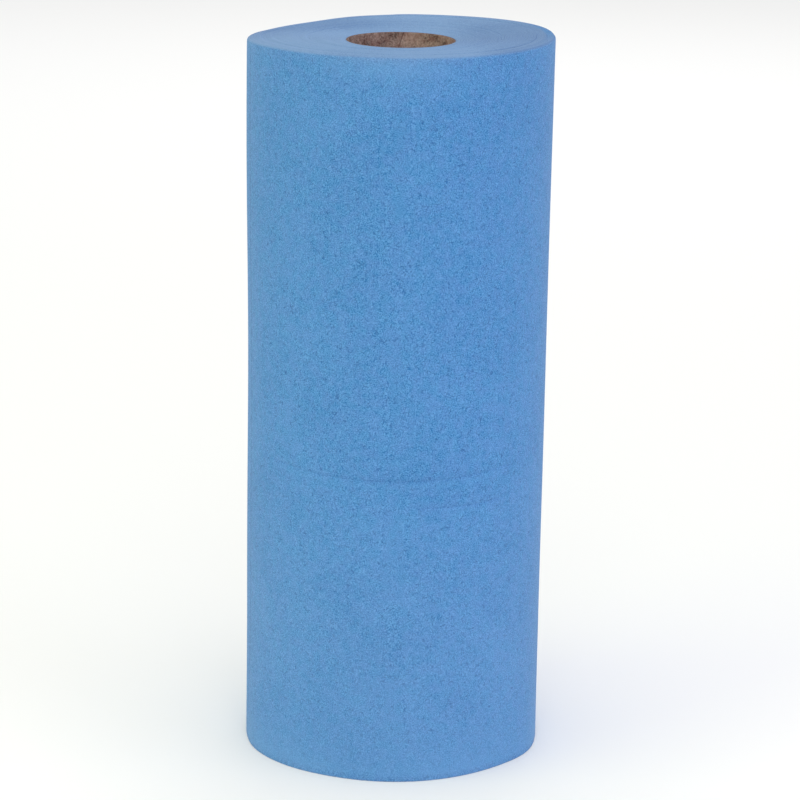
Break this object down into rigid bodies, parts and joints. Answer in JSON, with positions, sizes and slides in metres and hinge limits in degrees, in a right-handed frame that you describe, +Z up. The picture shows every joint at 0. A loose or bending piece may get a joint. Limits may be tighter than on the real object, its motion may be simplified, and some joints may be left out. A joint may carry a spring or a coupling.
{
  "type": "paper towel roll",
  "caption": "Paper towel roll standing on end: a long creped blue web wound on an open cardboard core, for a holder's rod or a counter.",
  "frame": {"origin": "on the axis of the core, in the plane of the end that the roll stands on", "axes": "+Z up along the core to the upper end, -Y towards the picture's viewer, +Y towards the side with the free edge of the web"},
  "size_m": [0.1167, 0.1171, 0.28],
  "materials": {
    "towel": "matt creped blue towelling, fine dry grain, paler and fuzzy at the cut edges of the turns",
    "core": "bare brown spiral-wound paperboard, mottled with fibres, with one helical ply seam"
  },
  "bodies": {
    "root": {"wound_towel": "towel", "cardboard_core": "core"}
  },
  "joints": []
}
